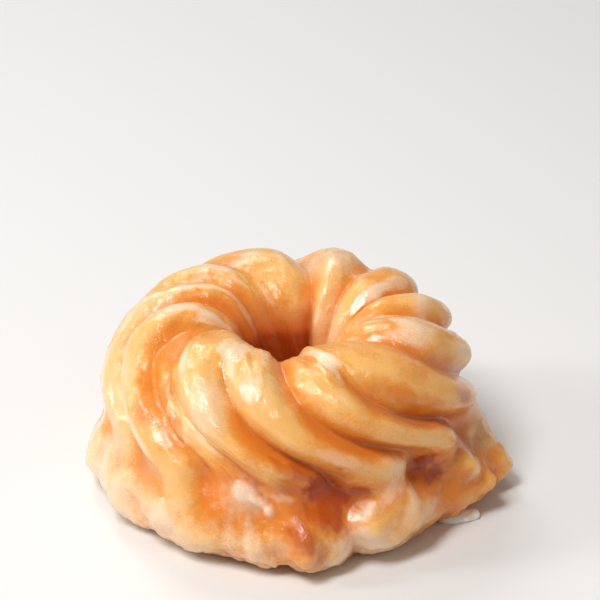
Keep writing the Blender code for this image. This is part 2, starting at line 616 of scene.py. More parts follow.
@dataclass
class Pool:
    """Glaze that gathered on the pastry before it set, or a patch of painted shade that turns the
    crust orange in shaded valleys and red under the overhangs.
    """

    turn: float        # degrees about the axis
    reach: float       # mm from the axis
    height: float      # mm over the table
    along: float       # mm, half its length
    across: float      # mm, half its width
    spin: float        # degrees that its length rises to the right, seen from outside
    thick: float = 0.0     # mm
    white: float = 0.0     # how far it hides the crust
    orange_shade: float = 0.0     # how far it turns the crust orange, as painted shade
    red: float = 0.0       # how far it turns the crust red, as painted shade


@dataclass
class LightAndShadePatch:
    """A soft patch painted browner or paler: painted shade on shaded flanks, undersides and
    hollows, painted light on lit crests and sides.
    """

    turn: float        # degrees about the axis
    reach: float       # mm from the axis
    height: float      # mm over the table
    size: float        # mm over which it fades
    darker: float       # how much browner, as painted shade; negative is paler, as painted light


@dataclass
class PastryRing:
    """The piped ring: thirteen uneven ridges, a waist and a spread foot.

    Sizes are in mm and degrees.
    """

    torus: tuple[float, float] = (24.0, 17.0)    # the radii that the cage starts from
    # angle round the section, distance from the axis, height, depth of the grooves
    section: tuple[tuple[float, float, float, float], ...] = (
        (0, 40.6, 21.2, 4.3), (17, 40.6, 25.6, 4.6), (34, 39.1, 30.6, 4.7), (50, 36.4, 35.0, 4.7),
        (66, 32.3, 38.7, 4.6), (80, 27.6, 40.8, 4.6), (93, 22.8, 41.4, 4.5),
        (107, 18.2, 40.8, 4.3), (121, 14.2, 38.4, 3.9), (134, 11.2, 34.4, 3.4),
        (150, 9.2, 29.0, 2.8), (168, 7.8, 22.8, 2.3), (187, 7.2, 16.4, 2.0), (214, 8.0, 9.0, 2.0),
        (235, 11.0, 2.6, 1.8), (248, 15.6, 0.0, 0.0), (264, 22.0, 0.0, 0.0),
        (283, 28.5, 0.0, 0.0), (299, 34.8, 0.0, 0.0), (310, 39.2, 0.7, 1.2),
        (320, 43.2, 4.2, 1.6), (330, 43.2, 8.6, 1.8), (340, 41.8, 13.0, 1.8),
        (350, 39.9, 17.0, 2.6),
    )
    # where each groove crosses the section's stations, about the axis
    groove_stations: tuple[float, ...] = (150, 120, 90, 60, 30, 0, -30)
    grooves: tuple[tuple[float, ...], ...] = (
        (226, 233, 238, 249, 262, 282, 287), (257, 263, 268, 275, 289, 314, 321),
        (278, 284, 290, 299, 316, 339, 344), (311, 319, 327, 335, 350, 368, 374),
        (344, 351, 357, 363, 376, 394, 399), (366, 373, 379, 384, 398, 416, 422),
        (400, 406, 410, 415, 429, 447, 453), (426, 432, 440, 450, 467, 484, 488),
        (464, 473, 481, 493, 511, 526, 529), (487, 495, 504, 517, 535, 550, 554),
        (509, 517, 527, 540, 559, 575, 579), (543, 551, 557, 567, 586, 604, 609),
        (560, 566, 570, 581, 602, 620, 626),
    )
    # how deep each groove is there, as a share of the section's groove depth
    depths: tuple[tuple[float, ...], ...] = (
        (0.1, 0.0, -0.1, 0.9, 1.2, 1.3, 0.7), (0.6, 0.7, 0.9, 1.0, 1.1, 0.9, 0.6),
        (0.1, 0.0, 0.1, 0.9, 1.3, 1.2, 0.6), (0.4, 0.5, 0.6, 0.9, 1.1, 1.0, 0.8),
        (0.4, 0.4, 0.5, 0.7, 1.0, 1.0, 1.0), (0.5, 0.6, 0.8, 1.0, 1.2, 1.0, 1.0),
        (0.8, 0.8, 0.6, 0.6, 0.8, 1.0, 1.0), (0.8, 0.9, 0.9, 1.0, 1.0, 1.0, 1.0),
        (0.2, 0.3, 0.5, 0.6, 0.6, 0.7, 1.0), (0.3, 0.4, 0.5, 0.6, 0.7, 0.8, 1.0),
        (0.4, 0.6, 0.9, 1.0, 0.9, 0.7, 0.6), (0.3, 0.5, 0.9, 1.1, 1.1, 0.9, 0.5),
        (0.4, 0.5, 0.7, 0.8, 0.8, 0.8, 0.6),
    )
    hole_station: float = 187.0    # where the ring is narrowest
    hole_depth: float = 0.4        # the grooves' depth there, as the same share
    hole_turn: float = -9.0        # how far the grooves there lie from their first station
    under_stations: tuple[float, ...] = (-62.0, -110.0, -173.0)
    under_depths: tuple[float, ...] = (1.0, 1.0, 1.0)
    under_turn: float = 4.0        # how far a groove goes on past its last station
    # how sharp each groove is
    creases: tuple[float, ...] = (0.6, 0.6, 0.6, 0.5, 0.5, 0.5, 0.3, 0.5, 0.1, 0.2, 0.5, 0.0, 0.6)
    # how far each ridge stands over the section, where it crosses these stations
    rise_stations: tuple[float, ...] = (120, 60, 0)
    rises: tuple[tuple[float, ...], ...] = (
        (-0.6, 0.1, 0.2), (-2.2, -0.2, 0.4), (0.0, -0.3, 0.3), (0.0, -0.2, 0.3), (0.1, 0.1, 0.2),
        (0.3, 0.3, 0.2), (0.4, 1.2, 0.4), (0.2, 0.3, 0.0), (-0.2, -0.2, 0.0), (-0.3, -0.4, 0.0),
        (-0.2, -0.2, 0.2), (-2.2, -3.6, -3.0), (0.7, 0.8, -0.8),
    )
    rise_fade: float = 35.0     # over how much the rises end under the waist
    rise_end: tuple[float, float] = (190.0, 40.0)    # where they end in the hole, over how much
    # how pointed each ridge's crest is
    crests: tuple[float, ...] = (1.0,) * 6 + (2.2,) + (1.0,) * 6
    lobes_passed: int = 4    # how many ridges a groove passes on its way through the hole
    # where a ridge's columns stand between its grooves, and how high
    columns: tuple[tuple[float, float], ...] = ((0.0, 0.0), (0.25, 0.86), (0.5, 1.0), (0.75, 0.86))
    # lumps of the foot, hollows of the waist, swells of the shoulder: angle about the axis,
    # reach in mm, width in degrees
    foot_lumps: tuple[tuple[float, float, float], ...] = (
        (187, 2.6, 11), (208, 1.2, 9), (231, -1.4, 8), (252, -1.0, 10), (274, 2.0, 7),
        (289, -3.8, 6), (304, -2.4, 6), (317, -4.2, 8), (328, -1.2, 6), (351, 5.6, 8),
        (15, -1.0, 8), (32, 0.8, 9), (60, -1.4, 10), (82, 0.6, 9), (104, -1.0, 8), (126, 0.9, 9),
        (150, -1.0, 9), (167, 0.4, 7),
    )
    waist_hollows: tuple[tuple[float, float, float], ...] = (
        (262, -1.4, 9), (286, -4.6, 11), (317, -5.0, 8), (347, -3.2, 7), (205, -1.2, 22),
        (20, -1.6, 12), (80, -1.6, 25), (140, -1.6, 25),
    )
    shoulder_swells: tuple[tuple[float, float, float], ...] = (
        (28, -1.0, 24), (152, -0.7, 26),
    )
    # middle and width of the bands that the lumps, hollows and swells act on
    foot_band: tuple[float, float] = (-42.0, 16.0)
    waist_band: tuple[float, float] = (-10.0, 9.0)
    shoulder_band: tuple[float, float] = (28.0, 22.0)
    cap_lean: float = -1.6     # how far the top leans to the right
    cap_start: float = 6.0     # height where it starts to lean
    cap_rise: float = 12.0     # over how much
    levels: tuple[int, int] = (2, 1)    # subdivision before the dents, and after
    # degrees about the axis, height, mm outward, reach of the fading, mm upward
    dents: tuple[Dent, ...] = tuple(
        Dent(*row)
        for row in (
            (281, 17.0, -2.4, 6.0), (274, 20.0, -1.4, 4.5), (289, 16.5, -1.4, 4.5),
            (291, 11.5, 2.0, 6.0, 0.6), (270, 12.5, 1.4, 4.5), (257, 17.0, 1.4, 6.0),
            (246, 21.0, -1.6, 4.5), (238, 17.0, 1.0, 6.0), (219, 9.0, -1.6, 4.0),
            (223, 4.0, -1.4, 4.0), (227, 11.0, 1.0, 4.5), (205, 14.0, -1.0, 4.5),
            (193, 10.0, 0.9, 5.0), (199, 6.0, -0.9, 3.5), (317, 16.5, -2.6, 5.0),
            (322, 12.0, -1.8, 4.5), (328, 20.0, 1.0, 4.0), (333, 15.0, 1.8, 4.0),
            (335, 9.5, 1.8, 4.5, 0.8), (311, 12.0, 1.0, 4.5), (351, 8.0, 1.0, 6.0),
            (345, 14.0, -1.8, 4.0), (320, 15.0, -1.6, 4.0), (328, 11.5, -1.3, 3.2),
            (337, 13.5, 1.2, 3.0), (342, 6.0, -2.6, 3.6), (334, 7.5, 1.0, 3.5),
            (301, 15.0, 0.9, 3.5), (309, 9.0, 0.9, 3.5), (302, 11.5, -0.8, 3.0),
            (276, 6.5, 1.0, 3.5), (283, 6.0, -1.2, 4.0), (262, 4.0, -0.9, 4.0),
            (303, 6.0, 1.2, 5.0), (296, 8.0, -1.0, 3.5), (25, 10.0, 1.0, 6.0),
            (48, 15.0, -1.6, 6.0), (70, 9.0, 1.2, 6.0), (95, 16.0, -1.5, 7.0),
            (112, 7.0, 1.2, 6.0), (135, 15.0, -1.6, 6.0), (158, 9.0, 1.0, 6.0),
            (176, 16.0, -1.2, 5.0),
        )
    )
    grip: tuple[float, float] = (4.0, 2.0)     # degrees and mm round a dent to take its point from
    # grain and strength of the crust's unevenness
    lumps: tuple[tuple[str, float, float], ...] = (
        ("rolling", 11.0, 1.3),
        ("lumpy", 4.5, 0.55),
        ("blistered", 1.9, 0.22),
    )
    # the foot's unevenness: its top, over how much it fades, grain, strength and middle value
    tears: tuple[tuple[str, float, float, float, float, float], ...] = (
        ("crumpled", 17.0, 7.0, 3.6, 1.5, 0.5),
        ("ragged", 5.5, 4.0, 2.4, 2.0, 0.6),
    )
    tear_reach: float = 34.0    # how far from the axis the foot's outside starts
    # rounds of smoothing that give the near and the wide neighbourhood, and even out the relief
    rounds: tuple[int, int, int] = (90, 300, 3)
    # how proud of the neighbourhoods, in mm, the crust turns pale; the darker orange in grooves and
    # wide hollows is partly painted shade
    relief_fade: Fade = Fade(-0.5, 1.4)
    bulk_fade: Fade = Fade(-0.6, 2.6)
    # painted light and shade: the crust is paler at the lit left and in front, high up, and darker
    # at the foot
    half_width: float = 40.0
    lit_side_share: tuple[float, float] = (0.3, 0.15)
    lit_side_fade: Fade = Fade(14.0, 12.0)
    foot_shade_share: float = 0.15
    foot_shade_fade: Fade = Fade(14.0, -8.0)
    # painted shade: darker in the hole, by reach, height and mm to the right (it fades on the lit
    # right wall), and in low hollows
    hole_fades: tuple[Fade, Fade, Fade] = (
        Fade(19.0, -6.0),
        Fade(36.0, -7.0, most=1.08),
        Fade(4.5, -3.0, least=0.15),
    )
    hollow_share: float = 0.6
    hollow_fade: Fade = Fade(-0.5, -1.4)
    low_fade: Fade = Fade(34.0, -10.0)
    darkest: float = 1.4
    # degrees about the axis, mm from it, height, size, how much browner as painted shade (negative:
    # paler, as painted light)
    light_and_shade_patches: tuple[LightAndShadePatch, ...] = tuple(
        LightAndShadePatch(*row)
        for row in (
            (249, 36.9, 20.0, 6, 0.8), (248, 39.0, 14.0, 5, 0.8), (258, 38.4, 27.5, 5, 0.8),
            (269, 37.0, 24.0, 5, 0.4), (281, 38.7, 27.0, 5, 1.0), (290, 38.9, 25.0, 5, 0.3),
            (290, 35.5, 31.0, 7, 0.8), (304, 38.2, 29.0, 6, 0.4), (311, 33.0, 35.0, 6, 0.6),
            (293, 29.9, 37.3, 4, -0.5), (308, 32.2, 30.5, 4, -1.0), (317, 38.1, 26.1, 4, -0.4),
            (339, 29.3, 37.8, 5, 0.4), (5, 18.4, 40.6, 5, 0.3), (294, 38.2, 13.7, 4, 0.4),
            (301, 40.4, 10.5, 5, 0.5), (278, 41.0, 8.0, 5, 0.4), (321, 36.0, 30.5, 5, 0.5),
            (345, 36.0, 17.0, 5, 0.4), (325, 39.7, 8.0, 6, 1.0), (346, 43.5, 5.0, 6, 1.0),
            (50, 12.5, 33.0, 7, -0.8), (35, 9.7, 30.0, 5, -0.5), (130, 15.5, 37.5, 5, 0.6),
            (150, 16.5, 37.5, 5, 0.5), (84, 28.0, 36.5, 6, -1.0), (62, 24.0, 41.0, 6, -0.9),
            (9, 27.0, 40.5, 6, -0.5), (342, 32.0, 35.0, 6, -0.2), (183, 37.0, 32.0, 12, -0.6),
            (203, 39.7, 22.5, 10, -0.5), (195, 41.5, 10.0, 14, -0.8), (160, 31.0, 38.0, 10, -0.6),
            (191, 23.7, 39.0, 5, -0.4), (202, 22.5, 38.3, 5, 1.0), (205, 27.5, 37.0, 5, 0.8),
            (274, 39.0, 14.5, 5, 0.6), (273, 41.9, 9.5, 4, 0.5), (290, 40.5, 6.0, 7, -0.6),
            (236, 40.5, 13.0, 8, -0.6), (215, 42.7, 7.6, 6, -0.5), (203, 36.5, 33.0, 6, -0.5),
            (214, 24.8, 39.8, 4, 1.0), (336, 36.0, 23.0, 6, 0.7), (283, 36.5, 14.5, 5, 0.9),
            (304, 38.6, 15.5, 4, 0.6), (311, 33.2, 33.6, 4, 0.3), (340, 42.3, 6.8, 5, 0.6),
            (29, 26.2, 39.7, 4, 0.6), (80, 21.4, 38.0, 5, -0.7), (115, 19.3, 39.5, 5, -0.7),
            (240, 36.6, 31.0, 6, -0.8), (242, 33.0, 36.5, 7, -0.7), (264, 30.0, 38.0, 7, -0.6),
            (292, 36.5, 18.5, 4, -0.9), (285, 36.8, 20.5, 4, -0.4), (316, 34.0, 19.0, 4, -1.0),
            (329, 39.0, 17.0, 4, -0.3), (350, 39.8, 14.0, 5, -1.2),
        )
    )
    # what a turn about the axis and a row of the cage count for in the ridges' own coordinates
    flow_radius: float = 23.0
    flow_step: float = 5.2
    # glaze runs: size across and along the ridges, where their edge lies, how soft the edge and
    # the colour are, and how thick they lie
    run_size: tuple[float, float, float] = (6.5, 6.5, 20.0)
    run_edge: float = 0.12
    run_soft: float = 0.12
    run_fade: float = 0.6
    film_thickness: float = 0.22
    # how much more glaze lies at the left (painted light), low down, on the crown's crests, in the
    # valleys (less: partly painted shade) and high up in front (painted light), and where these are
    run_more: tuple[float, float, float, float, float] = (0.2, 0.3, 0.4, -0.6, 0.12)
    run_low: Fade = Fade(13.0, -10.0)
    run_crown: Fade = Fade(34.0, 6.0)
    run_valley: Fade = Fade(0.4, -1.0)
    run_front: Fade = Fade(20.0, 8.0)
    # the film on the foot is even: where that is, how much of the runs is left there, how much
    # is added
    film_foot: Fade = Fade(15.0, -8.0)
    film_left: float = 0.2
    film_even: float = 0.4
    # degrees about the axis, mm from it, height, half length, half width, spin, and then the
    # thickness and how far it hides the crust, or how far it paints orange or red shade on it
    pools: tuple[Pool, ...] = tuple(
        Pool(*row)
        for row in (
            (255, 37.0, 17.6, 3.2, 2.6, -15, 0.8, 0.95),
            (259.5, 37.4, 16.4, 3.0, 1.3, -30, 1.2, 0.95),
            (263, 37.6, 14.8, 1.6, 1.2, -50, 1.1, 0.9),
            (256, 37.2, 16.6, 5.5, 4.4, -20, 0.3, 0.4),
            (266, 37.0, 17.5, 3.4, 0.8, -12, 0.3, 0.4),
            (216, 31.7, 34.8, 2.6, 0.7, -70, 0.7, 0.2),
            (221, 33.3, 33.2, 2.4, 0.7, -62, 0.8, 0.2),
            (225, 34.7, 31.4, 2.4, 0.7, -58, 0.8, 0.2),
            (228, 35.7, 29.2, 2.2, 0.7, -58, 0.7, 0.2),
            (231, 36.2, 26.8, 2.0, 0.7, -58, 0.5, 0.2), (293, 38.2, 12.8, 3.2, 1.8, 15, 0.3, 0.5),
            (291, 38.4, 12.0, 3.6, 2.0, 20, 0.3, 0.5), (288, 40.0, 8.0, 4.6, 2.6, 10, 0.2, 0.4),
            (266, 41.0, 8.0, 3.0, 3.0, 0, 0.2, 0.3), (296, 40.0, 6.0, 5.0, 2.4, 20, 0.2, 0.5),
            (309, 40.0, 13.0, 5.0, 2.0, 60, 0.3, 0.6), (304, 37.8, 21.0, 4.0, 2.2, -30, 0.2, 0.4),
            (245, 20.0, 40.6, 4.0, 1.8, 0, 0.2, 0.4), (87, 32.0, 35.4, 4.0, 2.0, 20, 0.2, 0.5),
            (68, 24.6, 41.2, 5.0, 2.2, -40, 0.2, 0.45), (50, 22.0, 40.0, 4.0, 1.6, -50, 0.2, 0.4),
            (10, 28.0, 39.9, 6.0, 2.4, -10, 0.2, 0.45),
            (354, 35.0, 33.0, 5.0, 2.0, -35, 0.2, 0.45),
            (350, 39.2, 24.0, 4.0, 2.0, -40, 0.2, 0.45),
            (117, 25.4, 40.0, 6.0, 2.6, 20, 0.15, 0.4),
            (141, 25.8, 40.1, 5.0, 2.0, 10, 0.15, 0.35),
            (166, 27.8, 38.6, 5.0, 2.0, -10, 0.15, 0.3),
            (192, 41.5, 11.0, 6.0, 4.0, 60, 0.2, 0.35),
            (285, 38.5, 26.0, 6.0, 1.6, -25, 0.15, 0.35),
            (302, 38.4, 16.3, 4.5, 2.2, 30, 0.2, 0.5),
            (307, 36.5, 21.0, 4.0, 1.8, -20, 0.2, 0.45), (312, 39.8, 8.5, 5.0, 2.2, 20, 0.2, 0.5),
            (293, 40.0, 7.5, 6.0, 2.4, 10, 0.2, 0.55), (284, 39.5, 5.0, 5.0, 1.8, 0, 0.2, 0.5),
            (335, 42.0, 12.0, 3.5, 1.2, 60, 0.2, 0.5),
        )
    ) + tuple(
        # painted shade: orange patches in shaded valleys and flanks
        Pool(*row, orange_shade=orange_shade)
        for *row, orange_shade in (
            (201, 20.5, 38.3, 4.5, 3.0, -35, 1.0), (190, 24.5, 39.6, 4.0, 1.6, -35, 0.6),
            (205, 26.5, 37.4, 5.5, 4.0, -50, 1.2), (210, 32.4, 33.2, 5.0, 3.4, -58, 1.0),
            (219, 34.4, 30.6, 5.0, 3.4, -58, 1.0), (227, 36.2, 26.8, 5.0, 3.2, -55, 1.0),
            (238, 37.0, 23.0, 5.0, 2.4, -42, 0.8), (246, 37.3, 19.8, 4.5, 2.2, -40, 0.8),
            (305, 31.0, 36.4, 5.0, 2.0, -30, 0.6), (312, 33.3, 34.0, 5.0, 2.2, -35, 1.0),
            (323, 36.0, 30.0, 5.0, 2.0, -35, 0.7), (332, 36.5, 24.5, 5.0, 2.2, -35, 0.8),
            (340, 36.5, 20.0, 5.0, 2.2, -40, 0.9), (328, 40.3, 11.6, 4.5, 2.8, 30, 0.9),
        )
    ) + tuple(
        # painted shade: red patches under the overhangs and in the waist's hollows
        Pool(*row, red=red)
        for *row, red in (
            (266, 37.0, 25.0, 3.5, 1.4, -30, 0.5), (273, 36.7, 22.5, 4.0, 1.6, -30, 0.7),
            (279, 35.1, 18.4, 4.5, 2.6, -25, 1.0), (285, 34.9, 15.8, 4.0, 2.4, -15, 1.0),
            (292, 35.5, 16.5, 3.5, 1.4, 0, 0.8), (272, 37.6, 18.4, 3.5, 1.8, -10, 0.5),
            (281, 38.0, 13.5, 5.0, 3.6, -60, 0.9), (273, 41.6, 10.4, 5.5, 3.0, -70, 0.75),
            (277, 38.0, 15.0, 5.0, 3.0, -40, 0.7), (282, 35.2, 16.2, 6.0, 3.6, -30, 1.0),
            (281, 37.2, 14.4, 4.5, 2.8, -60, 0.85), (334, 36.5, 22.0, 5.0, 2.4, -35, 0.6),
            (334, 38.7, 18.8, 4.0, 3.0, -60, 0.5), (276, 41.5, 5.0, 4.0, 3.0, 0, 0.4),
            (319, 35.3, 16.5, 3.8, 2.4, 40, 1.0), (322, 36.5, 14.0, 3.6, 2.2, 20, 0.9),
        )
    )
    # the edge of a pool or painted shade patch: where it ends, as a share of its size, over how
    # much it fades, how ragged a thin and a thick one is, from what thickness, and the grain of
    # that in mm
    pool_end: float = 1.2
    pool_soft: float = 0.8
    pool_ragged: tuple[float, float] = (0.4, 0.12)
    pool_thick: float = 0.5
    pool_grain: float = 1.4
    pool_margin: float = 2.0               # mm round a pool that are looked at
    pool_facing: Fade = Fade(-0.1, 0.4)    # how far the surface has to face the pool's own way
    piece: bpy.types.Object | None = field(default=None, init=False)

    def build(self) -> bpy.types.Object:
        """Makes the ring.

        Returns:
            The finished piece, undressed.
        """
        stations, columns = self._columns()
        rows = len(self.section)
        deselect_all()
        bpy.ops.mesh.primitive_torus_add(
            major_segments=len(columns),
            minor_segments=rows,
            major_radius=self.torus[0] * MM,
            minor_radius=self.torus[1] * MM,
        )
        self.piece = bpy.context.object
        self.piece.name = "pastry_ring"
        self._shape_cage(stations, columns, rows)
        self._paint_flow(len(columns), rows)
        self._close_in_the_hole(len(columns), rows)
        subdivide(self.piece, self.levels[0])
        self._press_by_hand()
        subdivide(self.piece, self.levels[1])
        self._centre()
        self._roughen()
        self._tear_the_edge()
        self._paint_relief()
        self._pour_glaze()
        flatten_under(self.piece)
        return self.piece

    def _columns(self) -> tuple[tuple[float, ...], list[Column]]:
        """Works out where each column of the cage runs.

        Returns:
            The stations round the section, and for each column its angles there, its share of
            the ridge's height, the depths of its groove and its ridge's number.
        """
        count = len(self.grooves)
        even = 360 / count
        hole = sum(g[0] - even * i for i, g in enumerate(self.grooves)) / count + self.hole_turn
        stations = (self.hole_station,) + self.groove_stations + self.under_stations
        table = []
        for i, groove in enumerate(self.grooves):
            start = hole + even * i
            finish = start + even * self.lobes_passed
            under = groove[-1] + self.under_turn
            table.append((start,) + groove + (under, (under + finish) / 2, finish))
        columns = []
        for lobe in range(count):
            following = (lobe + 1) % count
            around = 360 if following == 0 else 0
            ends = list(zip(table[lobe], table[following]))
            for place, rise in self.columns:
                angles = [a + (b + around - a) * place for a, b in ends]
                depths = self.depths[lobe if place < 0.5 else following]
                depths = (self.hole_depth,) + depths + self.under_depths
                columns.append((angles, rise ** self.crests[lobe], depths, lobe))
        return stations, columns

    @staticmethod
    def _humps(turn: float, table: tuple[tuple[float, float, float], ...]) -> float:
        """The sum of some lumps or hollows at an angle about the axis, in mm."""
        total = 0.0
        for middle, amount, width in table:
            away = (turn - middle + 180) % 360 - 180
            total += amount * math.exp(-((away / width) ** 2))
        return total

    @staticmethod
    def _band(at: float, band: tuple[float, float]) -> float:
        """How much a band of the section, given by its middle and width, acts at one place."""
        middle, width = band
        return math.exp(-(((at - middle) / width) ** 2))

    def _cage_point(self, stations: tuple[float, ...], column: Column, row: int) -> Vector:
        """One point of the cage.

        Args:
            stations: Places round the section where the column's angles are known.
            column: The column's angles, rise, depths and ridge.
            row: The row's number.

        Returns:
            The point, in metres.
        """
        angles, rise, depths, lobe = column
        angle, radius, height, groove = self.section[row]
        before, after = self.section[row - 1], self.section[(row + 1) % len(self.section)]
        at = angle if angle <= self.hole_station else angle - 360
        turn = through(stations, angles, at)
        along = math.hypot(after[1] - before[1], after[2] - before[2])
        out_radius = (after[2] - before[2]) / along
        out_height = -(after[1] - before[1]) / along
        known = min(max(at, self.rise_stations[-1]), self.rise_stations[0])
        own = through(self.rise_stations, self.rises[lobe], known)
        end, fade = self.rise_end
        own *= min(1.0, max(0.0, (at + self.rise_fade) / self.rise_fade), (end - at) / fade)
        out = rise * own - groove * (1 - rise) * through(stations, depths, at)
        radius += self._humps(turn, self.foot_lumps) * self._band(at, self.foot_band)
        radius += self._humps(turn, self.waist_hollows) * self._band(at, self.waist_band)
        radius += self._humps(turn, self.shoulder_swells) * self._band(at, self.shoulder_band)
        radius += out_radius * out
        height += out_height * out
        lean = self.cap_lean * min(1.0, max(0.0, (height - self.cap_start) / self.cap_rise))
        turn = math.radians(turn)
        return Vector((radius * math.cos(turn) + lean, radius * math.sin(turn), height)) * MM

    def _shape_cage(
        self, stations: tuple[float, ...], columns: list[Column], rows: int
    ) -> None:
        """Pulls the torus's points to the section one by one, and creases the grooves."""
        pick(self.piece)
        starts = point_array(self.piece.data)
        bpy.ops.object.mode_set(mode="EDIT")
        for number, start in enumerate(starts):
            column, row = divmod(number, rows)
            goal = self._cage_point(stations, columns[column], row)
            pick_points(self.piece, (number,))
            bpy.ops.transform.translate(value=goal - Vector(start))
        cage = bmesh.from_edit_mesh(self.piece.data)
        crease = cage.edges.layers.float.new("crease_edge")
        for edge in cage.edges:
            edge[crease] = self._sharpness([v.index // rows for v in edge.verts])
        bmesh.update_edit_mesh(self.piece.data)
        bpy.ops.object.mode_set(mode="OBJECT")

    def _sharpness(self, columns: list[int]) -> float:
        """The crease of an edge between two of the cage's columns; only a groove's edge has one."""
        step = len(self.columns)
        return min(self.creases[n // step] if n % step == 0 else 0.0 for n in columns)

    def _paint_flow(self, columns: int, rows: int) -> None:
        """Writes coordinates that run with the ridges: round across them, and up along them."""
        numbers = np.arange(columns * rows)
        turn = 2 * np.pi * (numbers // rows) / columns
        along = (numbers % rows - rows // 2 - 1) % rows
        radius, step = self.flow_radius * MM, self.flow_step * MM
        flow = np.stack([radius * np.cos(turn), radius * np.sin(turn), along * step], axis=1)
        flow = flow.astype(np.float32)
        pick(self.piece)
        bpy.ops.geometry.attribute_add(name="flow", domain="POINT", data_type="FLOAT_VECTOR")
        self.piece.data.attributes["flow"].data.foreach_set("vector", flow.ravel())

    def _close_in_the_hole(self, columns: int, rows: int) -> None:
        """Cuts the ring open in the hole and bridges it again, each ridge to the one it becomes."""
        first = rows // 2
        pick(self.piece)
        bpy.ops.object.mode_set(mode="EDIT")
        bpy.ops.mesh.select_mode(type="FACE")
        cage = bmesh.from_edit_mesh(self.piece.data)
        for face in cage.faces:
            face.select = {v.index % rows for v in face.verts} == {first, first + 1}
        bmesh.update_edit_mesh(self.piece.data)
        bpy.ops.mesh.delete(type="ONLY_FACE")
        bpy.ops.mesh.select_mode(type="EDGE")
        bpy.ops.mesh.select_all(action="DESELECT")
        bpy.ops.mesh.select_non_manifold(
            extend=False,
            use_wire=False,
            use_multi_face=False,
            use_non_contiguous=False,
            use_verts=False,
        )
        bpy.ops.mesh.bridge_edge_loops()
        cage = bmesh.from_edit_mesh(self.piece.data)
        crease = cage.edges.layers.float.get("crease_edge")
        for edge in cage.edges:
            ends = [v.index for v in edge.verts]
            if {n % rows for n in ends} == {first, first + 1}:
                edge[crease] = self._sharpness([n // rows for n in ends])
        bmesh.update_edit_mesh(self.piece.data)
        bpy.ops.mesh.select_all(action="SELECT")
        bpy.ops.mesh.normals_make_consistent(inside=False)
        bpy.ops.object.mode_set(mode="OBJECT")

    def _press_by_hand(self) -> None:
        """Presses and pulls the outside at each dent with a soft falloff."""
        pick(self.piece)
        points = point_array(self.piece.data)
        turn = np.degrees(np.arctan2(points[:, 1], points[:, 0] - self.cap_lean * MM / 2))
        reach = np.hypot(points[:, 0], points[:, 1])
        degrees, mm = self.grip
        bpy.ops.object.mode_set(mode="EDIT")
        for dent in self.dents:
            away = np.abs((turn - dent.turn + 180) % 360 - 180)
            near = (away < degrees) & (np.abs(points[:, 2] - dent.height * MM) < mm * MM)
            chosen = np.where(near)[0]
            number = int(chosen[np.argmax(reach[chosen])])
            pick_points(self.piece, (number,))
            facing = math.radians(dent.turn)
            way = Vector((math.cos(facing), math.sin(facing), 0))
            bpy.ops.transform.translate(
                value=way * dent.out * MM + Vector((0, 0, dent.up * MM)),
                use_proportional_edit=True,
                proportional_edit_falloff="SMOOTH",
                proportional_size=dent.reach * MM,
                use_proportional_connected=True,
            )
        bpy.ops.object.mode_set(mode="OBJECT")

    def _centre(self) -> None:
        """Brings the middle of the ring over the middle of the solid that it stands for."""
        low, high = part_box("cruller")
        points = point_array(self.piece.data)
        middle = (points.min(axis=0) + points.max(axis=0)) / 2
        goal = (low + high) / 2
        pick(self.piece)
        bpy.ops.object.mode_set(mode="EDIT")
        bpy.ops.mesh.select_all(action="SELECT")
        bpy.ops.transform.translate(value=(goal.x - middle[0], goal.y - middle[1], 0))
        bpy.ops.object.mode_set(mode="OBJECT")

    def _roughen(self) -> None:
        """Gives the smooth ridges the crust's unevenness."""
        for name, grain, strength in self.lumps:
            roughen(self.piece, name, grain, strength)

    def _tear_the_edge(self) -> None:
        """Makes the foot lumpy and its lowest edge ragged."""
        for name, top, fade, grain, strength, level in self.tears:
            points = point_array(self.piece.data)
            outside = np.hypot(points[:, 0], points[:, 1]) > self.tear_reach * MM
            shares = Fade(top, -fade).at(points[:, 2] / MM) * outside
            with weighed(self.piece, name, shares):
                roughen(self.piece, name, grain, strength, mid_level=level, vertex_group=name)

    def _paint_relief(self) -> None:
        """Writes how proud of its neighbourhood each point stands, the painted shade of the hole
        and low hollows, the painted light and shade of the sides and foot, and the patches of
        painted light and shade.
        """
        mesh = self.piece.data
        points, normals = point_array(mesh), normal_array(mesh)
        ends = np.empty(len(mesh.edges) * 2, dtype=np.int64)
        mesh.edges.foreach_get("vertices", ends)
        ends = ends.reshape(-1, 2)
        count = np.bincount(ends.ravel(), minlength=len(points))[:, None]

        def relaxed(values: np.ndarray, rounds: int) -> np.ndarray:
            """Values averaged with their neighbours, round after round."""
            out = values.copy()
            for _ in range(rounds):
                total = np.zeros_like(out)
                for column in range(out.shape[1]):
                    total[:, column] += np.bincount(ends[:, 0], out[ends[:, 1], column], len(out))
                    total[:, column] += np.bincount(ends[:, 1], out[ends[:, 0], column], len(out))
                out = 0.5 * out + 0.5 * total / count
            return out

        near = relaxed(points, self.rounds[0])
        wide = relaxed(near, self.rounds[1])
        proud, stout = (((points - mean) * normals).sum(axis=1) / MM for mean in (near, wide))
        proud = relaxed(proud[:, None], self.rounds[2])[:, 0]
        reach = np.hypot(points[:, 0] - self.cap_lean * MM, points[:, 1]) / MM
        height = points[:, 2] / MM
        # painted shade in the hole and in low hollows, fading on the lit right side of the hole
        inward, down, aside = self.hole_fades
        hole = inward.at(reach) * down.at(height) * aside.at(points[:, 0] / MM)
        hollow = self.hollow_fade.at(proud) * self.hollow_share * self.low_fade.at(height)
        paint(self.piece, "relief", self.relief_fade.at(proud))
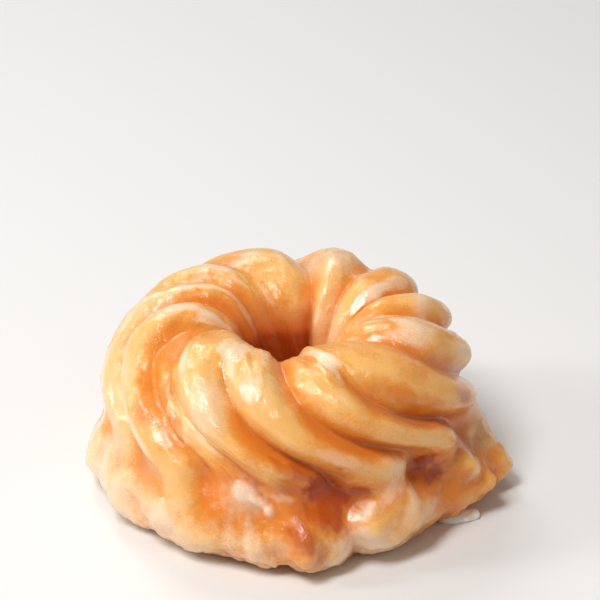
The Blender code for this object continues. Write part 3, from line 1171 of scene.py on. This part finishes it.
        # painted light: paler at the lit left and in front, high up; painted shade: darker at the
        # foot
        left, front = self.lit_side_share
        toward = -(points[:, 0] * left + points[:, 1] * front) / (self.half_width * MM)
        pale = toward * self.lit_side_fade.at(height) - self.foot_shade_share * self.foot_shade_fade.at(height)
        paint(self.piece, "bulk", self.bulk_fade.at(stout, pale))
        paint(self.piece, "cavity_shade", np.clip(hole + hollow, 0, self.darkest))
        # painted shade and painted light: soft patches painted browner where shade falls, paler
        # where light falls
        painted_light_and_shade = np.zeros(len(points))
        for light_patch in self.light_and_shade_patches:
            goal = self._spot(light_patch.turn, light_patch.reach, light_patch.height)
            apart = ((points - np.array(goal)) ** 2).sum(axis=1) / (light_patch.size * MM) ** 2
            painted_light_and_shade += light_patch.darker * np.exp(-apart)
        paint(self.piece, "painted_light_and_shade", painted_light_and_shade)

    def _pour_glaze(self) -> None:
        """Lays a thin raised film of glaze in runs along the ridges, painted paler at the lit left
        and front (painted light), and the pools on it, with patches of painted shade in orange and
        red.
        """
        mesh = self.piece.data
        points = point_array(mesh)
        flow = np.empty(len(points) * 3)
        mesh.attributes["flow"].data.foreach_get("vector", flow)
        runs = flow.reshape(-1, 3) / (np.array(self.run_size) * MM)
        cloudy = np.array([noise.fractal(Vector(p), 1.0, 2.0, 3) for p in runs])
        relief = np.empty(len(points))
        mesh.attributes["relief"].data.foreach_get("value", relief)
        height = points[:, 2] / MM
        low = self.run_low.at(height)
        # painted light: more pale film at the lit left and high up in front
        left, front = (-points[:, axis] / (self.half_width * MM) for axis in (0, 1))
        crests = self.run_crown.at(height) * relief
        valley = self.run_valley.at(relief) * (1 - low)
        front = front * self.run_front.at(height)
        places = (left, low, crests, valley, front)
        share = cloudy + sum(more * place for more, place in zip(self.run_more, places))
        film, veil = (smooth((share - self.run_edge) / s) for s in (self.run_soft, self.run_fade))
        thick = film * self.film_thickness
        white, orange_shade, red = np.zeros((3, len(points)))
        for pool in self.pools:
            share = self._pool_share(pool, points)
            thick = np.maximum(thick, share * pool.thick)
            white = np.maximum(white, share * pool.white)
            orange_shade = np.maximum(orange_shade, share * pool.orange_shade)
            red = np.maximum(red, share * pool.red)
        foot = self.film_foot.at(height)
        veil = veil * (1 - (1 - self.film_left) * foot) + self.film_even * foot
        paint(self.piece, "film", veil)
        paint(self.piece, "white", white)
        paint(self.piece, "orange_shade", orange_shade)
        paint(self.piece, "red", red)
        with weighed(self.piece, "glaze", thick / thick.max()):
            apply_modifier(
                self.piece,
                "DISPLACE",
                direction="NORMAL",
                strength=max(pool.thick for pool in self.pools) * MM,
                mid_level=0.0,
                vertex_group="glaze",
            )

    def _spot(self, turn: float, reach: float, height: float) -> Vector:
        """A place on the leaning cap, given in degrees and mm about its axis."""
        turn = math.radians(turn)
        return Vector((math.cos(turn) * reach + self.cap_lean, math.sin(turn) * reach, height)) * MM

    def _pool_share(self, pool: Pool, points: np.ndarray) -> np.ndarray:
        """How much of the pool's thickness lies on each point of the ring.

        Args:
            pool: The pool.
            points: The ring's points.

        Returns:
            A share for each point, 1 in the pool's middle.
        """
        turn, spin = math.radians(pool.turn), math.radians(pool.spin)
        goal = np.array(self._spot(pool.turn, pool.reach, pool.height))
        nearest = int(np.argmin(((points - goal) ** 2).sum(axis=1)))
        middle = self.piece.data.vertices[nearest]
        level = Vector((-math.sin(turn), math.cos(turn), 0))
        level = (level - middle.normal * level.dot(middle.normal)).normalized()
        rising = middle.normal.cross(level)
        length = level * math.cos(spin) + rising * math.sin(spin)
        width = middle.normal.cross(length)
        away = (points - np.array(middle.co)) / MM
        near = np.abs(away).max(axis=1) < pool.along + pool.across + self.pool_margin
        out = np.zeros(len(points))
        part = away[near]
        apart = np.hypot(part @ np.array(length) / pool.along, part @ np.array(width) / pool.across)
        ragged = np.array([noise.noise(Vector(p) / self.pool_grain) for p in part])
        uneven = self.pool_ragged[pool.thick > self.pool_thick]
        inside = smooth((self.pool_end - apart - uneven * ragged) / self.pool_soft)
        alike = normal_array(self.piece.data)[near] @ np.array(middle.normal)
        out[near] = inside * self.pool_facing.at(alike)
        return out

    def dress(self) -> None:
        """Gives the ring its crust and glaze, and ties it to the frame."""
        pick(self.piece)
        bpy.ops.object.shade_smooth()
        self.piece.data.materials.append(PastryFinish().material())
        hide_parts("cruller")
        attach(self.piece, "root")


# ---------------------------------------------------------------- glaze on the table


@dataclass
class Drop:
    """One drop of set glaze on the table."""

    turn: float        # degrees about the axis
    reach: float       # mm from the axis
    height: float      # mm over the table
    along: float       # mm, half its length
    wide: float        # mm, half its width
    thick: float       # mm, half its thickness


@dataclass
class GlazeTongue:
    """Glaze that ran out from under the foot, as drops that melted into one."""

    drops: tuple[Drop, ...] = (
        Drop(330.0, 36.4, 0.5, 3.0, 2.0, 1.2),
        Drop(332.8, 38.3, 0.6, 2.6, 2.1, 1.4),
        Drop(334.7, 39.8, 0.6, 2.0, 1.8, 1.3),
    )
    facets: tuple[int, int] = (32, 16)    # segments and rings of a drop
    grain: float = 0.35        # mm, how fine the melted surface is
    rounds: int = 6            # of smoothing it
    unevenness: float = 0.2    # mm
    swell: float = 2.6         # mm, size of the unevenness
    piece: bpy.types.Object | None = field(default=None, init=False)

    def build(self) -> bpy.types.Object:
        """Sets down each drop and melts them into one.

        Returns:
            The finished piece, undressed.
        """
        balls = [self._set_down(drop) for drop in self.drops]
        deselect_all()
        for ball in balls:
            ball.select_set(True)
        bpy.context.view_layer.objects.active = balls[0]
        bpy.ops.object.join()
        self.piece = bpy.context.object
        self.piece.name = "glaze_tongue"
        pick(self.piece)
        bpy.ops.object.transform_apply(location=True, rotation=True, scale=True)
        apply_modifier(self.piece, "REMESH", mode="VOXEL", voxel_size=self.grain * MM)
        apply_modifier(self.piece, "SMOOTH", factor=0.5, iterations=self.rounds)
        roughen(self.piece, "glaze_tongue_uneven", self.swell, self.unevenness)
        flatten_under(self.piece)
        return self.piece

    def _set_down(self, drop: Drop) -> bpy.types.Object:
        """Puts one drop on the table.

        Args:
            drop: The drop.

        Returns:
            A ball of its size, lying flat.
        """
        turn = math.radians(drop.turn)
        way = Vector((math.cos(turn), math.sin(turn), 0))
        deselect_all()
        bpy.ops.mesh.primitive_uv_sphere_add(
            segments=self.facets[0],
            ring_count=self.facets[1],
            radius=MM,
            location=way * drop.reach * MM + Vector((0, 0, drop.height * MM)),
            rotation=Vector((0, 0, 1)).to_track_quat("Y", "Z").to_euler(),
            scale=(drop.along, drop.thick, drop.wide),
        )
        return bpy.context.object

    def dress(self) -> None:
        """Gives the tongue its glaze, and ties it to the frame."""
        pick(self.piece)
        bpy.ops.object.shade_smooth()
        self.piece.data.materials.append(SetGlazeFinish().material())
        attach(self.piece, "root")


# ---------------------------------------------------------------- the studio


@dataclass
class Lamp:
    """One soft box."""

    name: str
    azimuth: float      # degrees, 0 in front, 90 on the right
    elevation: float    # degrees over the table
    size: float         # m across
    height: float       # m
    power: float        # W
    colour: Colour = (1.0, 1.0, 1.0)
    distance: float = 0.9    # m


@dataclass
class Studio:
    """Pale floor, soft lights and the camera."""

    floor_size: float = 4.0    # m
    sky: Colour = (1.0, 0.99, 0.97)
    sky_strength: float = 0.22
    lamps: tuple[Lamp, ...] = (
        Lamp("key", -40, 60, size=0.28, height=0.4, power=5.9),
        Lamp("side", -84, 28, size=0.14, height=0.5, power=2.4),
        Lamp("back", -155, 48, size=0.3, height=0.45, power=2.3),
        Lamp("fill", 60, 30, size=0.8, height=0.8, power=0.6, colour=(1.0, 0.82, 0.68)),
    )
    camera_elevation: float = 30.0    # degrees over the table
    camera_tilt: float = 2.3          # degrees that it looks over the cruller's middle
    camera_distance: float = 0.5      # m
    lens: float = 140.7               # mm
    sensor: float = 36.0              # mm
    aim_height: float = 0.020         # m, the cruller's middle

    def build(self) -> None:
        """Sets up the floor, the sky, the lamps and the camera."""
        deselect_all()
        bpy.ops.mesh.primitive_plane_add(size=self.floor_size)
        floor = bpy.context.object
        floor.name = "floor"
        floor.data.materials.append(FloorFinish().material())
        world = bpy.data.worlds.new("sky")
        bpy.context.scene.world = world
        world.use_nodes = True
        background = world.node_tree.nodes["Background"]
        background.inputs["Color"].default_value = (*self.sky, 1.0)
        background.inputs["Strength"].default_value = self.sky_strength
        for lamp in self.lamps:
            self._hang(lamp)
        self._set_camera()
        view = bpy.context.scene.view_settings
        view.view_transform = "Standard"
        view.look = "None"
        view.exposure = 0.0

    def _hang(self, lamp: Lamp) -> None:
        """Hangs one soft box, turned to the cruller."""
        turn, rise = math.radians(lamp.azimuth), math.radians(lamp.elevation)
        level = math.cos(rise)
        way = Vector((math.sin(turn) * level, -math.cos(turn) * level, math.sin(rise)))
        place = way * lamp.distance + Vector((0, 0, self.aim_height))
        deselect_all()
        bpy.ops.object.light_add(type="AREA", location=place)
        light = bpy.context.object
        light.name = lamp.name
        light.data.shape = "ELLIPSE"
        light.data.size = lamp.size
        light.data.size_y = lamp.height
        light.data.energy = lamp.power
        light.data.color = lamp.colour
        light.rotation_euler = (-way).to_track_quat("-Z", "Y").to_euler()

    def _set_camera(self) -> None:
        """Stands the camera in front, aimed over the cruller so that it sits low in the frame."""
        rise = math.radians(self.camera_elevation)
        back = Vector((0, -math.cos(rise), math.sin(rise)))
        deselect_all()
        place = back * self.camera_distance + Vector((0, 0, self.aim_height))
        bpy.ops.object.camera_add(location=place)
        camera = bpy.context.object
        camera.data.lens = self.lens
        camera.data.sensor_width = self.sensor
        camera.data.clip_start = 0.01
        pitch = math.radians(90 - self.camera_elevation + self.camera_tilt)
        camera.rotation_euler = (pitch, 0, 0)
        bpy.context.scene.camera = camera


def main() -> None:
    """Builds the cruller and its studio, and reports each piece."""
    logging.basicConfig(level=logging.INFO, format="%(message)s")
    Studio().build()
    ring = PastryRing()
    ring.build()
    ring.dress()
    log.info("%s: %d faces", ring.piece.name, len(ring.piece.data.polygons))
    tongue = GlazeTongue()
    tongue.build()
    tongue.dress()
    log.info("%s: %d faces", tongue.piece.name, len(tongue.piece.data.polygons))


if __name__ == "__main__":
    main()
